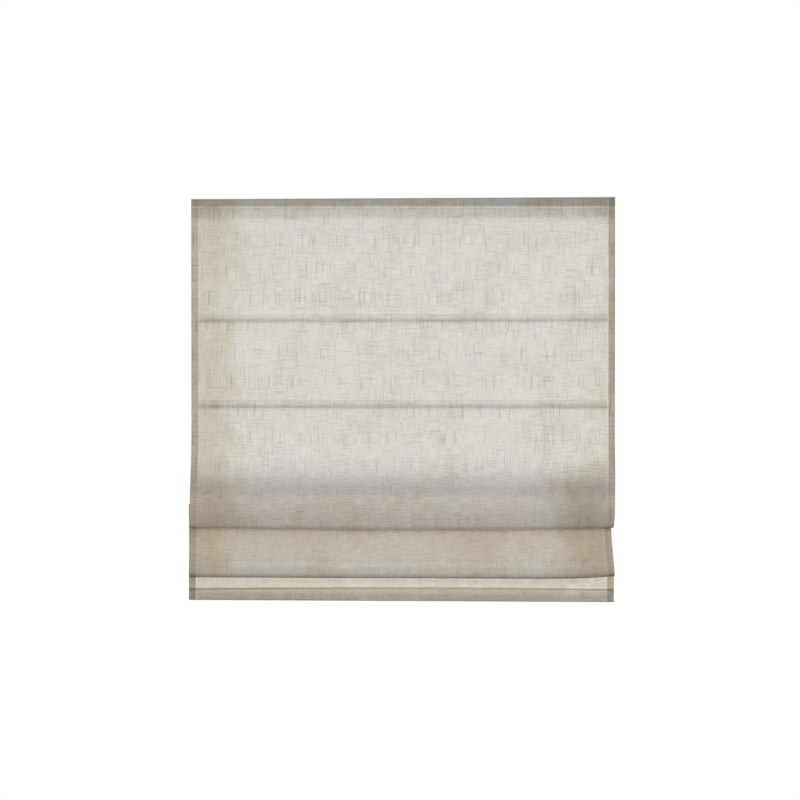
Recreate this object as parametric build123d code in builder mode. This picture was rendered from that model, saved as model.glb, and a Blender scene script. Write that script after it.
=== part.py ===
from build123d import *
from math import acos, cos, pi, sin
import os

# A roman blind of linen, drawn up part of the way. Millimetres, +Z up, front towards -Y.
# The origin is the centre of the wall screws, on the wall's face, which is the plane Y = 0.

# Clearances
running_clearance = 0.3
bearing_clearance = 0.06
seat_clearance = 0.1
cut_overrun = 1.0

# Wall brackets and their swivel levers
bracket_end_margin = 183.0
bracket_width = 32.0
bracket_thickness = 1.6
bracket_bend_radius = 2.5
bracket_leg_below = 20.0
bracket_reach = 33.0
screw_spacing = 18.0
screw_hole_radius = 2.25
rivet_radius = 2.5
rivet_head_radius = 4.0
rivet_head_height = 0.8
lever_cam_length = 27.0
lever_cam_width = 15.0
lever_cam_thickness = 2.2
lever_hub_radius = 7.0
lever_tab_length = 14.0
lever_tab_width = 8.0
lever_tab_thickness = 1.5

# Headrail and end caps
wall_gap = 8.0
rail_inset = 7.0
rail_depth = 32.0
rail_height = 45.0
rail_top = 20.0
rail_wall = 1.2
rail_lip = 7.0
rail_front_rise = 4.5
rail_corner_radius = 1.0
cap_thickness = 2.5
cap_corner_radius = 0.8
cap_plug_depth = 9.0
cap_plug_wall = 1.6

# Tapes that hold the cloth on the rail
tape_height = 20.0
tape_end_margin = 6.0
hook_tape_thickness = 1.2
loop_tape_thickness = 1.0

# Lift shaft, cord spools and cradles
spool_end_margin = 93.0
shaft_overhang = 40.0
shaft_flats = 6.0
shaft_behind_front = 18.0
shaft_above_floor = 25.8
cord_radius = 0.7
spool_length = 34.0
spool_core_radius = 8.5
spool_flange_radius = 11.5
spool_flange_thickness = 1.6
spool_hub_radius = 5.0
cord_wrap_width = 14.0
cord_hole_radius = 2.2
cradle_wall = 3.0
cradle_base_thickness = 2.4
cradle_boss_radius = 8.0

# Spring lift
motor_plate = 1.8
motor_base_thickness = 1.8
motor_plate_rise = 10.0
drum_length = 26.0
drum_flange_thickness = 1.4
output_core_radius = 6.5
output_flange_radius = 8.0
storage_core_radius = 3.5
storage_flange_radius = 6.8
storage_axle_radius = 2.5
storage_forward = 7.5
storage_below = 13.5
coil_radius = 6.0
band_thickness = 0.4

# Cloth
fabric_width = 1000.0
fabric_thickness = 0.8
side_hem_width = 16.0
header_hem_height = 24.0
top_panel_drop = 289.0
rod_pitch = 203.0
bulge_above_rod_3 = 95.0
bulge_radius = 400.0
brow_1_below_rod_3 = 50.0
brow_1_forward = 37.0
brow_1_radius = 65.0
crease_1_below_rod_3 = 87.0
crease_1_forward = 28.0
fold_step = 113.0
brow_2_above_crease = 15.0
brow_2_forward = 20.0
brow_2_radius = 36.0
crease_2_forward = 16.5
crease_width = 17.0
crease_radius = 9.0
gather_4_above_rod_3 = 23.0
gather_step = 52.0
gather_width = 11.0
gather_radius = 4.0
hem_below_crease_2 = 58.0
hem_height = 30.5

# Stiffening rods, their pockets and rings
rod_radius = 2.5
rod_clearance = 0.25
rod_end_margin = 4.0
pocket_thickness = 0.6
pocket_height = 20.0
pocket_seam = 1.0
gather_pocket_width = 7.0
ring_wire_radius = 0.8
ring_facets = 8
stop_flange_height = 2.0
stop_body_radius = 2.6
stop_body_height = 6.0

# Bottom bar
bar_inset = 6.0
bar_height = 17.0
bar_thickness = 4.0
bar_clearance = 0.3
bar_cap_length = 6.0

# Sizes and places that follow from the sizes above
rail_length = fabric_width - 2 * rail_inset
bracket_spacing = rail_length - 2 * bracket_end_margin
spool_place = rail_length / 2 - spool_end_margin
shaft_length = 2 * (spool_place + shaft_overhang)
motor_place = spool_place / 2
bar_length = fabric_width - 2 * (bar_inset + bar_cap_length)
sides = {"left": -1, "right": 1}
stations = {"left": -spool_place, "centre": 0.0, "right": spool_place}

rod_3_drop = top_panel_drop + 2 * rod_pitch
bulge_drop = rod_3_drop - bulge_above_rod_3
brow_1_drop = rod_3_drop + brow_1_below_rod_3
crease_1_drop = rod_3_drop + crease_1_below_rod_3
crease_2_drop = crease_1_drop + fold_step
brow_2_drop = crease_2_drop - brow_2_above_crease
gather_4_drop = rod_3_drop - gather_4_above_rod_3
gather_6_drop = gather_4_drop + gather_step
blind_drop = crease_2_drop + hem_below_crease_2

rail_back = -wall_gap
rail_front = rail_back - rail_depth
rail_middle = (rail_back + rail_front) / 2
rail_bottom = rail_top - rail_height
rail_floor = rail_bottom + rail_wall
rail_front_top = rail_top + rail_front_rise
lip_underside = rail_top - rail_wall
inner_depth = rail_depth - 2 * rail_wall
shaft_y = rail_front + shaft_behind_front
shaft_z = rail_floor + shaft_above_floor
cord_y = shaft_y - spool_core_radius - cord_radius - seat_clearance
hook_y = rail_front - hook_tape_thickness
loop_y = hook_y - loop_tape_thickness
cloth_y = loop_y - fabric_thickness - fabric_thickness / 2
cloth_top = rail_front_top
cord_behind = cord_y - cloth_y

lever_tab_bottom = rail_top + running_clearance
lever_tab_top = lever_tab_bottom + lever_tab_thickness
lever_cam_top = lip_underside - running_clearance
lever_cam_bottom = lever_cam_top - lever_cam_thickness
bracket_leg_bottom = lever_tab_top + running_clearance
bracket_top = bracket_leg_bottom + bracket_thickness

tunnel_inner = rod_radius + rod_clearance
tunnel_outer = tunnel_inner + pocket_thickness
tunnel_lift = pocket_thickness + tunnel_inner
tunnel_back = fabric_thickness / 2 + tunnel_lift + tunnel_outer
ring_outer = cord_behind - tunnel_back - seat_clearance
pocket_length = fabric_width - 2 * side_hem_width - 2 * seat_clearance
rod_length = pocket_length - 2 * rod_end_margin

os.makedirs("parts", exist_ok=True)


def write(part, name):
    part.label = name
    export_step(part, f"parts/{name}.step")


def across(x, y, z):
    """A plane across the rail: its normal is +X, its own x is +Y and its own y is +Z."""
    return Plane(origin=(x, y, z), x_dir=(0, 1, 0), z_dir=(1, 0, 0))


def along(x, y, z):
    """A plane along the rail for turned pieces: its own x is +X and its own y is +Z."""
    return Plane(origin=(x, y, z), x_dir=(1, 0, 0), z_dir=(0, -1, 0))


def turned(points, x, y, z):
    """A piece turned about an axis along the rail, from its half section (place along the axis, radius)."""
    with BuildPart() as piece:
        with BuildSketch(along(x, y, z)):
            with BuildLine():
                Polyline(*points, close=True)
            make_face()
        revolve(axis=Axis((x, y, z), (1, 0, 0)))
    return piece.part


def drum_section(length, core, flange, flange_thickness, hub, hub_length):
    """Half section of a flanged drum with a journal at each end."""
    half = length / 2
    inner = half - flange_thickness
    end = half + hub_length
    return [
        (-end, 0), (-end, hub), (-half, hub), (-half, flange), (-inner, flange), (-inner, core),
        (inner, core), (inner, flange), (half, flange), (half, hub), (end, hub), (end, 0),
    ]


def sleeve_section(start, stop, inner, outer):
    """Half section of a plain sleeve."""
    return [(start, inner), (start, outer), (stop, outer), (stop, inner)]


# Headrail: an open-topped channel with inward lips and a raised front wall
with BuildPart() as headrail:
    with BuildSketch(across(-rail_length / 2, 0, 0)) as rail_profile:
        with BuildLine():
            Polyline(
                (rail_front, rail_front_top),
                (rail_front, rail_bottom),
                (rail_back, rail_bottom),
                (rail_back, rail_top),
                (rail_back - rail_lip, rail_top),
                (rail_back - rail_lip, lip_underside),
                (rail_back - rail_wall, lip_underside),
                (rail_back - rail_wall, rail_floor),
                (rail_front + rail_wall, rail_floor),
                (rail_front + rail_wall, lip_underside),
                (rail_front + rail_lip, lip_underside),
                (rail_front + rail_lip, rail_top),
                (rail_front + rail_wall, rail_top),
                (rail_front + rail_wall, rail_front_top),
                close=True,
            )
        make_face()
        fillet(rail_profile.vertices().group_by(Axis.Y)[0], rail_corner_radius)
    extrude(amount=rail_length)
    with Locations(*[(x, cord_y, rail_floor) for x in stations.values()]):
        Cylinder(cord_hole_radius, 2 * rail_height, mode=Mode.SUBTRACT)
write(headrail.part, "headrail")

# End caps: a sloping cover plate with a hollow plug inside the rail
for side, sign in sides.items():
    end_x = sign * rail_length / 2
    with BuildPart() as end_cap:
        with BuildSketch(across(end_x, 0, 0)) as cap_plate:
            with BuildLine():
                Polyline(
                    (rail_front, rail_front_top),
                    (rail_front, rail_bottom),
                    (rail_back, rail_bottom),
                    (rail_back, rail_top),
                    (rail_front + rail_lip, rail_front_top),
                    close=True,
                )
            make_face()
            fillet(cap_plate.vertices(), cap_corner_radius)
        extrude(amount=sign * cap_thickness)
        plug_depth = inner_depth - 2 * seat_clearance
        plug_height = lip_underside - rail_floor - 2 * seat_clearance
        with BuildSketch(across(end_x, rail_middle, (lip_underside + rail_floor) / 2)):
            Rectangle(plug_depth, plug_height)
            Rectangle(plug_depth - 2 * cap_plug_wall, plug_height - 2 * cap_plug_wall, mode=Mode.SUBTRACT)
        extrude(amount=-sign * cap_plug_depth)
    write(end_cap.part, f"end_cap_{side}")

# Wall brackets, their rivets and the swivel levers that lock under the rail's lips
for side, sign in sides.items():
    bracket_x = sign * bracket_spacing / 2

    with BuildPart() as bracket:
        with BuildSketch(across(bracket_x - bracket_width / 2, 0, 0)) as bracket_profile:
            with BuildLine():
                Polyline(
                    (0, -bracket_leg_below),
                    (0, bracket_top),
                    (-bracket_reach, bracket_top),
                    (-bracket_reach, bracket_leg_bottom),
                    (-bracket_thickness, bracket_leg_bottom),
                    (-bracket_thickness, -bracket_leg_below),
                    close=True,
                )
            make_face()
            outer_corner = (0, bracket_top)
            inner_corner = (-bracket_thickness, bracket_leg_bottom)
            inner_bend = bracket_bend_radius - bracket_thickness
            fillet(bracket_profile.vertices().sort_by_distance(outer_corner)[0], bracket_bend_radius)
            fillet(bracket_profile.vertices().sort_by_distance(inner_corner)[0], inner_bend)
        extrude(amount=bracket_width)
        with Locations(*[(bracket_x, 0, z) for z in (-screw_spacing / 2, screw_spacing / 2)]):
            Cylinder(screw_hole_radius, 2 * bracket_width, rotation=(90, 0, 0), mode=Mode.SUBTRACT)
        with Locations((bracket_x, rail_middle, bracket_top)):
            Cylinder(rivet_radius + seat_clearance, 2 * bracket_thickness + cut_overrun, mode=Mode.SUBTRACT)
    write(bracket.part, f"bracket_{side}")

    with BuildPart() as lever:
        with BuildSketch(Plane((bracket_x, rail_middle, lever_cam_bottom))):
            SlotOverall(lever_cam_length, lever_cam_width, rotation=90)
        extrude(amount=lever_cam_thickness)
        with BuildSketch(Plane((bracket_x, rail_middle, lever_cam_top))):
            Circle(lever_hub_radius)
        extrude(amount=lever_tab_top - lever_cam_top)
        tab_round = lever_tab_width / 2
        with BuildSketch(Plane((bracket_x, rail_middle, lever_tab_bottom))):
            with Locations(((lever_tab_length - tab_round) / 2, 0)):
                SlotCenterToCenter(lever_tab_length - tab_round, lever_tab_width)
        extrude(amount=lever_tab_thickness)
        with Locations((bracket_x, rail_middle, lever_cam_bottom)):
            Cylinder(rivet_radius + bearing_clearance, 2 * rail_height, mode=Mode.SUBTRACT)
    write(lever.part, f"bracket_lever_{side}")

    with BuildPart() as rivet:
        with BuildSketch(Plane((bracket_x, rail_middle, lever_cam_bottom - seat_clearance))):
            Circle(rivet_radius)
        extrude(amount=bracket_top + seat_clearance - lever_cam_bottom)
        with BuildSketch(Plane((bracket_x, rail_middle, lever_cam_bottom - seat_clearance))):
            Circle(rivet_head_radius)
        extrude(amount=-rivet_head_height)
        with BuildSketch(Plane((bracket_x, rail_middle, bracket_top))):
            Circle(rivet_head_radius)
        extrude(amount=rivet_head_height)
    write(rivet.part, f"bracket_pivot_{side}")

# Hook tape on the rail and loop tape on the cloth
tape_length = rail_length - 2 * tape_end_margin
for name, face_y, thickness in (
    ("hook_tape", rail_front, hook_tape_thickness),
    ("loop_tape", hook_y, loop_tape_thickness),
):
    with BuildPart() as tape:
        with BuildSketch(along(0, face_y, rail_front_top - tape_height / 2)):
            Rectangle(tape_length, tape_height)
        extrude(amount=thickness)
    write(tape.part, name)

# Lift shaft and what turns on it
with BuildPart() as shaft:
    with BuildSketch(across(-shaft_length / 2, shaft_y, shaft_z)):
        RegularPolygon(shaft_flats / 2, 6, major_radius=False)
    extrude(amount=shaft_length)
write(shaft.part, "lift_shaft")


def shaft_bored(solid, x, reach):
    """The same piece with the shaft's six-sided bore through it."""
    with BuildPart() as piece:
        add(solid)
        with BuildSketch(across(x - reach, shaft_y, shaft_z)):
            RegularPolygon(shaft_flats / 2 + bearing_clearance, 6, major_radius=False)
        extrude(amount=2 * reach, mode=Mode.SUBTRACT)
    return piece.part


spool_hub_length = cradle_wall + 2 * running_clearance
for station, x in stations.items():
    section = drum_section(
        spool_length, spool_core_radius, spool_flange_radius, spool_flange_thickness,
        spool_hub_radius, spool_hub_length,
    )
    spool = shaft_bored(turned(section, x, shaft_y, shaft_z), x, spool_length)
    write(spool, f"cord_spool_{station}")

    wrap_stop = -cord_radius - running_clearance
    wrap_inner = spool_core_radius + bearing_clearance
    wrap_outer = spool_core_radius + 2 * cord_radius
    wrap = turned(sleeve_section(wrap_stop - cord_wrap_width, wrap_stop, wrap_inner, wrap_outer), x, shaft_y, shaft_z)
    write(wrap, f"cord_wrap_{station}")

    cradle_reach = spool_length / 2 + running_clearance
    cradle_width = inner_depth - 2 * seat_clearance
    with BuildPart() as cradle:
        for wall_x in (x - cradle_reach - cradle_wall, x + cradle_reach):
            with BuildSketch(across(wall_x, 0, 0)):
                with Locations((shaft_y, shaft_z)):
                    Circle(cradle_boss_radius)
                with Locations((rail_middle, rail_floor)):
                    Rectangle(cradle_width, cradle_base_thickness, align=(Align.CENTER, Align.MIN))
                make_hull()
            extrude(amount=cradle_wall)
        with BuildSketch(across(x - cradle_reach, rail_middle, rail_floor)):
            Rectangle(cradle_width, cradle_base_thickness, align=(Align.CENTER, Align.MIN))
        extrude(amount=2 * cradle_reach)
        with Locations((x, shaft_y, shaft_z)):
            bearing_radius = spool_hub_radius + bearing_clearance
            Cylinder(bearing_radius, 2 * spool_length, rotation=(0, 90, 0), mode=Mode.SUBTRACT)
        with Locations((x, cord_y, rail_floor)):
            Cylinder(cord_hole_radius, 2 * cradle_base_thickness + cut_overrun, mode=Mode.SUBTRACT)
    write(cradle.part, f"spool_cradle_{station}")

# Spring lift: an output drum on the shaft, a storage drum with the coiled band, and their frame
storage_y = shaft_y - storage_forward
storage_z = shaft_z - storage_below
drum_hub_length = motor_plate + 2 * running_clearance
output_section = drum_section(
    drum_length, output_core_radius, output_flange_radius, drum_flange_thickness, spool_hub_radius, drum_hub_length
)
output_drum = shaft_bored(turned(output_section, motor_place, shaft_y, shaft_z), motor_place, drum_length)
write(output_drum, "spring_output_drum")

storage_section = drum_section(
    drum_length, storage_core_radius, storage_flange_radius, drum_flange_thickness, storage_axle_radius, drum_hub_length
)
write(turned(storage_section, motor_place, storage_y, storage_z), "spring_storage_drum")

coil_half = drum_length / 2 - drum_flange_thickness - running_clearance
coil_section = sleeve_section(-coil_half, coil_half, storage_core_radius + bearing_clearance, coil_radius)
write(turned(coil_section, motor_place, storage_y, storage_z), "spring_coil")

# The band's free run lies on the crossing tangent between the coil and the output drum
output_centre = Vector(shaft_y, shaft_z)
storage_centre = Vector(storage_y, storage_z)
output_touch = output_core_radius + running_clearance
coil_touch = coil_radius + running_clearance
centre_line = storage_centre - output_centre
lean = acos((output_touch + coil_touch + band_thickness) / centre_line.length)
toward = centre_line.normalized()
band_normal = Vector(
    toward.X * cos(lean) - toward.Y * sin(lean),
    toward.X * sin(lean) + toward.Y * cos(lean),
)
with BuildPart() as band:
    with BuildSketch(across(motor_place - coil_half, 0, 0)):
        with BuildLine():
            Polyline(
                output_centre + band_normal * output_touch,
                output_centre + band_normal * (output_touch + band_thickness),
                storage_centre - band_normal * coil_touch,
                storage_centre - band_normal * (coil_touch + band_thickness),
                close=True,
            )
        make_face()
    extrude(amount=2 * coil_half)
write(band.part, "spring_band")

motor_reach = drum_length / 2 + running_clearance
motor_width = inner_depth - 2 * seat_clearance
with BuildPart() as motor_frame:
    for plate_x in (motor_place - motor_reach - motor_plate, motor_place + motor_reach):
        with BuildSketch(across(plate_x, rail_middle, rail_floor)) as plate:
            plate_height = shaft_above_floor + motor_plate_rise
            Rectangle(motor_width, plate_height, align=(Align.CENTER, Align.MIN))
            fillet(plate.vertices().group_by(Axis.Y)[-1], motor_plate_rise / 2)
        extrude(amount=motor_plate)
    with BuildSketch(across(motor_place - motor_reach, rail_middle, rail_floor)):
        Rectangle(motor_width, motor_base_thickness, align=(Align.CENTER, Align.MIN))
    extrude(amount=2 * motor_reach)
    for axle_y, axle_z, axle_radius in (
        (shaft_y, shaft_z, spool_hub_radius),
        (storage_y, storage_z, storage_axle_radius),
    ):
        with Locations((motor_place, axle_y, axle_z)):
            Cylinder(axle_radius + bearing_clearance, 2 * drum_length, rotation=(0, 90, 0), mode=Mode.SUBTRACT)
write(motor_frame.part, "motor_frame")


# Cloth: one sheet that hangs flat, folds forward twice and ends in a hem round the bottom bar.
# Each fold has a brow, its part furthest forward, a little above its crease.
def on_cloth(behind, drop):
    """A point in the YZ plane, measured back from the flat cloth and down from its top edge."""
    return Vector(cloth_y + behind, cloth_top - drop)


half_cloth = fabric_thickness / 2
crease_1_line = crease_1_drop - half_cloth
crease_2_line = crease_2_drop - half_cloth
gather_4_line = gather_4_drop + half_cloth
gather_6_line = gather_6_drop + half_cloth
gather_4_behind = cord_behind - ring_outer - seat_clearance - tunnel_outer
gather_6_behind = cord_behind
tail_behind = gather_6_behind + gather_width / 2
stitch_drop = blind_drop - hem_height

bulge_start = on_cloth(0, bulge_drop)
brow_1 = on_cloth(-brow_1_forward, brow_1_drop)
crease_1_front = on_cloth(-crease_1_forward, crease_1_line)
crease_1_back = on_cloth(crease_width - crease_1_forward, crease_1_line)
gather_4_front = on_cloth(gather_4_behind - gather_width / 2, gather_4_line)
gather_4_back = on_cloth(gather_4_behind + gather_width / 2, gather_4_line)
brow_2 = on_cloth(-brow_2_forward, brow_2_drop)
crease_2_front = on_cloth(-crease_2_forward, crease_2_line)
crease_2_back = on_cloth(crease_width - crease_2_forward, crease_2_line)
gather_6_front = on_cloth(gather_6_behind - gather_width / 2, gather_6_line)
gather_6_back = on_cloth(tail_behind, gather_6_line)
hem_stitch = on_cloth(tail_behind, stitch_drop)

cloth_route = [
    on_cloth(0, 0), bulge_start, brow_1, crease_1_front, crease_1_back, gather_4_front, gather_4_back,
    brow_2, crease_2_front, crease_2_back, gather_6_front, gather_6_back, hem_stitch,
]
crease_bends = [crease_radius, crease_radius]
gather_bends = [gather_radius, gather_radius]
fold_1_bends = [bulge_radius, brow_1_radius] + crease_bends + gather_bends
fold_2_bends = [brow_2_radius] + crease_bends + gather_bends
cloth_bends = fold_1_bends + fold_2_bends

hem_radius = bar_thickness / 2 + bar_clearance + fabric_thickness
hem_y = hem_stitch.X - half_cloth + hem_radius
hem_low_z = cloth_top - blind_drop + hem_radius
hem_high_z = hem_low_z + bar_height - bar_thickness

with BuildPart() as fabric:
    with BuildSketch(across(-fabric_width / 2, 0, 0)):
        with BuildLine():
            cloth_line = FilletPolyline(*cloth_route, radius=cloth_bends)
            offset(amount=half_cloth, side=Side.BOTH)
        make_face()
    extrude(amount=fabric_width)
    for hem_x in (-fabric_width / 2, fabric_width / 2 - side_hem_width):
        with BuildSketch(across(hem_x, 0, 0)):
            with BuildLine():
                FilletPolyline(*cloth_route, radius=cloth_bends)
                offset(amount=half_cloth + fabric_thickness, side=Side.LEFT)
            make_face()
        extrude(amount=side_hem_width)
    with BuildSketch(along(0, cloth_y + half_cloth + fabric_thickness, cloth_top - header_hem_height / 2)):
        Rectangle(fabric_width, header_hem_height)
    extrude(amount=fabric_thickness)
    with BuildSketch(across(-fabric_width / 2, 0, 0)):
        with Locations((hem_y, hem_low_z), (hem_y, hem_high_z)):
            Circle(hem_radius)
        with Locations(hem_stitch):
            Circle(half_cloth)
        make_hull()
        offset(amount=-fabric_thickness, mode=Mode.SUBTRACT)
    extrude(amount=fabric_width)
write(fabric.part, "fabric")


# Stiffening rods in sewn pockets on the back of the cloth
def back_of(direction):
    """The way the back of the cloth faces where the sheet runs in this direction."""
    return Vector(-direction.Y, direction.X)


def seat_on(start, end, distance):
    """The back of a straight run of cloth, a distance along it: a point and the way it faces."""
    direction = (end - start).normalized()
    face = back_of(direction)
    return start + direction * distance + face * half_cloth, face


def seat_on_gather(behind, drop):
    """The top of a gather, where the back of the cloth faces up."""
    return on_cloth(behind, drop), Vector(0, 1)


rod_3_run = bulge_above_rod_3 / (bulge_above_rod_3 + brow_1_below_rod_3)
rod_3_distance = rod_3_run * (brow_1 - bulge_start).length
rod_5_distance = rod_pitch - gather_width / 2
rod_seats = {
    1: seat_on(on_cloth(0, 0), bulge_start, top_panel_drop),
    2: seat_on(on_cloth(0, 0), bulge_start, top_panel_drop + rod_pitch),
    3: seat_on(bulge_start, brow_1, rod_3_distance),
    4: seat_on_gather(gather_4_behind, gather_4_drop),
    5: seat_on(gather_4_back, brow_2, rod_5_distance),
    6: seat_on_gather(gather_6_behind, gather_6_drop),
}
gathered_rods = (4, 6)
ringed_rods = (2, 4, 6)

for number, (seat, face) in rod_seats.items():
    pocket_plane = Plane(
        origin=(-pocket_length / 2, seat.X, seat.Y), x_dir=(0, face.X, face.Y), z_dir=(1, 0, 0)
    )
    seam_reach = tunnel_outer + pocket_seam
    strip_height = gather_pocket_width if number in gathered_rods else pocket_height
    strip_low = gather_pocket_width / 2 if number in gathered_rods else seam_reach
    with BuildPart() as pocket:
        with BuildSketch(pocket_plane):
            with Locations((pocket_thickness / 2, strip_height / 2 - strip_low)):
                Rectangle(pocket_thickness, strip_height)
            with Locations((tunnel_lift, 0)):
                Circle(tunnel_outer)
            with Locations((tunnel_lift, 0)):
                Circle(tunnel_inner, mode=Mode.SUBTRACT)
        extrude(amount=pocket_length)
    write(pocket.part, f"rod_pocket_{number}")

    rod_centre = seat + face * tunnel_lift
    with BuildPart() as rod:
        with BuildSketch(across(-rod_length / 2, rod_centre.X, rod_centre.Y)):
            Circle(rod_radius)
        extrude(amount=rod_length)
    write(rod.part, f"rod_{number}")

# Cord rings, cord stops and lift cords
stop_seat_z = rod_seats[6][0].Y + tunnel_lift + tunnel_outer + seat_clearance
stop_flange_radius = ring_outer - ring_wire_radius
ring_heights = {number: seat.Y + face.Y * tunnel_lift for number, (seat, face) in rod_seats.items()}
ring_heights[6] = stop_seat_z + stop_flange_height + ring_wire_radius + seat_clearance
for number in ringed_rods:
    with BuildPart() as rings:
        for x in stations.values():
            with BuildSketch(along(x, cord_y, ring_heights[number])):
                with Locations((ring_outer - ring_wire_radius, 0)):
                    RegularPolygon(ring_wire_radius, ring_facets)
            revolve(axis=Axis((x, cord_y, ring_heights[number]), (0, 0, 1)))
    write(rings.part, f"ring_set_{number}")

stop_top_z = stop_seat_z + stop_flange_height + stop_body_height
for station, x in stations.items():
    with BuildPart() as stop:
        with BuildSketch(Plane((x, cord_y, stop_seat_z))):
            Circle(stop_flange_radius)
        extrude(amount=stop_flange_height)
        with BuildSketch(Plane((x, cord_y, stop_seat_z + stop_flange_height))):
            Circle(stop_body_radius)
        extrude(amount=stop_body_height)
    write(stop.part, f"cord_stop_{station}")

    with BuildPart() as cord:
        with BuildSketch(Plane((x, cord_y, stop_top_z))):
            Circle(cord_radius)
        extrude(amount=shaft_z - stop_top_z)
    write(cord.part, f"lift_cord_{station}")

# Bottom bar with an end cap at each end
with BuildPart() as bar:
    with BuildSketch(across(-bar_length / 2, hem_y, (hem_low_z + hem_high_z) / 2)):
        SlotOverall(bar_height, bar_thickness, rotation=90)
    extrude(amount=bar_length)
write(bar.part, "bottom_bar")

for side, sign in sides.items():
    with BuildPart() as bar_cap:
        with BuildSketch(across(sign * bar_length / 2, hem_y, (hem_low_z + hem_high_z) / 2)):
            SlotOverall(bar_height, bar_thickness, rotation=90)
        extrude(amount=sign * bar_cap_length)
    write(bar_cap.part, f"bar_cap_{side}")

tail_length = blind_drop - gather_6_drop
flat_length = cloth_line.length + header_hem_height + hem_height + pi * hem_radius
print(f"sheet cut to about {flat_length:.0f} mm long, tail {tail_length:.0f} mm below the last rod")
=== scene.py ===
import math

import bpy
import numpy as np
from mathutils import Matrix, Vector, noise


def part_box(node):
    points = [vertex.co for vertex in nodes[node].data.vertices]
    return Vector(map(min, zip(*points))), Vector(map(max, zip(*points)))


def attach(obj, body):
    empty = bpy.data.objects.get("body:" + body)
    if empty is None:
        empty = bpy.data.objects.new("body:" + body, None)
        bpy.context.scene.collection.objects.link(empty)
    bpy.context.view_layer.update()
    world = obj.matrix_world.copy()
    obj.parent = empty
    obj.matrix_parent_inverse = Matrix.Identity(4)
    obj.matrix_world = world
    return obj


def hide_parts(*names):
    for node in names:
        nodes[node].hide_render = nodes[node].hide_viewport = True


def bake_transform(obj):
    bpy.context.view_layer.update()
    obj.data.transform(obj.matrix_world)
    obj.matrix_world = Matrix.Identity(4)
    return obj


# A linen roman blind, drawn up part of the way. Metres, +Z up, front towards -Y.
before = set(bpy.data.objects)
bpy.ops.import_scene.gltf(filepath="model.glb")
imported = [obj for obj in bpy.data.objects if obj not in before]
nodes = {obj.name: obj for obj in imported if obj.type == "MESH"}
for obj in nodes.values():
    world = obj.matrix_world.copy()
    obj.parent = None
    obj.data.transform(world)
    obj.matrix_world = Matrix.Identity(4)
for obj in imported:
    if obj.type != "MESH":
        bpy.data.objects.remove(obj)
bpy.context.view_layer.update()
scene = bpy.context.scene
scene.view_settings.view_transform = "Standard"

# Cloth
LAYER = 0.0008
WIDTH = 1.0
SIDE_HEM = 0.016
HEADER_HEM = 0.024
HEADER_RADIUS_SHARE = 0.98
BULGE_DROP = 0.600
BULGE_RADIUS = 0.400
BROW_1_DROP = 0.745
BROW_1_FORWARD = 0.037
BROW_1_RADIUS = 0.065
BROW_2_DROP = 0.880
BROW_2_FORWARD = 0.020
BROW_2_RADIUS = 0.036
CREASE_WIDTH = 0.017
CREASE_RADIUS = 0.009
CREASE_1_DROP = 0.782
CREASE_1_FORWARD = 0.028
CREASE_2_DROP = 0.896
CREASE_2_FORWARD = 0.0165
GATHER_WIDTH = 0.011
GATHER_RADIUS = 0.004
GATHER_4_DROP = 0.672
GATHER_6_DROP = 0.724
BLIND_DROP = 0.953
HEM_HEIGHT = 0.0305
HEM_DEPTH = 0.0054
HEM_RADIUS = 0.0026

# How finely the cloth is divided
ROW_STEP = 0.008
BEND_STEP = math.radians(14)
COLUMNS = 144
ROLL_STEPS = 4
HEM_STEPS = 3

# How the cloth hangs away from true
CREASE_LIFT = {"left": 0.0055, "right": 0.0085}
CREASE_2_LIFT = 0.0075
CREASE_LIFT_POWER = 2
CREASE_2_LIFT_POWER = 8
RIPPLE = 0.0011
RIPPLE_ACROSS = 3.2
RIPPLE_DOWN = 5.0
RIPPLE_PLANE = 0.7
RIPPLE_FADE = 0.03

# How far the left and right edges stand out of true, from the flat panel down to the hem
EDGE_DRIFT = {
    "header_front": (-0.0008, 0.0006),
    "bulge": (0.0, 0.0),
    "brow_1": (0.0010, -0.0035),
    "crease_1_front": (-0.0022, -0.0050),
    "gather_4_front": (-0.0030, -0.0120),
    "gather_4_back": (-0.0030, -0.0180),
    "brow_2": (-0.0032, -0.0024),
    "crease_2_front": (-0.0032, -0.0012),
    "gather_6_front": (-0.0080, -0.0120),
    "gather_6_back": (-0.0080, -0.0140),
    "tail_strip": (-0.0091, -0.0006),
    "hem_back": (-0.0091, -0.0012),
}

# The rods that stay where they are, those that the lift moves, and those that the cloth is gathered over
STILL_RODS = (1, 2, 3)
STACK_RODS = (4, 5, 6)
GATHER_RODS = (4, 6)

# Rod pockets
TAPE = 0.0003
POCKET_THICKNESS = 0.0006
POCKET_ABOVE = 0.01565
POCKET_BELOW = 0.0036
POCKET_COLUMNS = 120
GATHER_POCKET_HALF = 0.0035
TUNNEL_INNER = 0.00275
TUNNEL_RADIUS = 0.0031
TUNNEL_TURN = math.radians(140)
TUNNEL_STEPS = 22
TAPE_STEP = 0.002

# Stitches: how far apart they start, and the thread of each in rows: its share of that pitch, its lift off
# the cloth and its share of the thread's radius
STITCH_PITCH = 0.0036
STITCH_SHAPE = ((0.0, -0.0001, 0.6), (0.15, 0.00016, 1.0), (0.6, 0.00016, 1.0), (0.75, -0.0001, 0.6))
THREAD_RADIUS = 0.00022
THREAD_SIDES = 5
HEM_STITCH_INSET = 0.0015
HEADER_STITCH_DROP = 0.0018
BOTTOM_STITCH_DROP = 0.0020
POCKET_STITCH_DROP = 0.0015

# Where the cloth's front piece ends and the piece of its fold's back run begins, a little above the crease
FOLD_SEAM_RISE = 0.008

# Lift cords
CORD_SIDES = 10
CORD_STEP = 0.004
CORD_TWIST = 0.009
CORD_LOBES = 5
CORD_LOBE_DEPTH = 0.07
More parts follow.
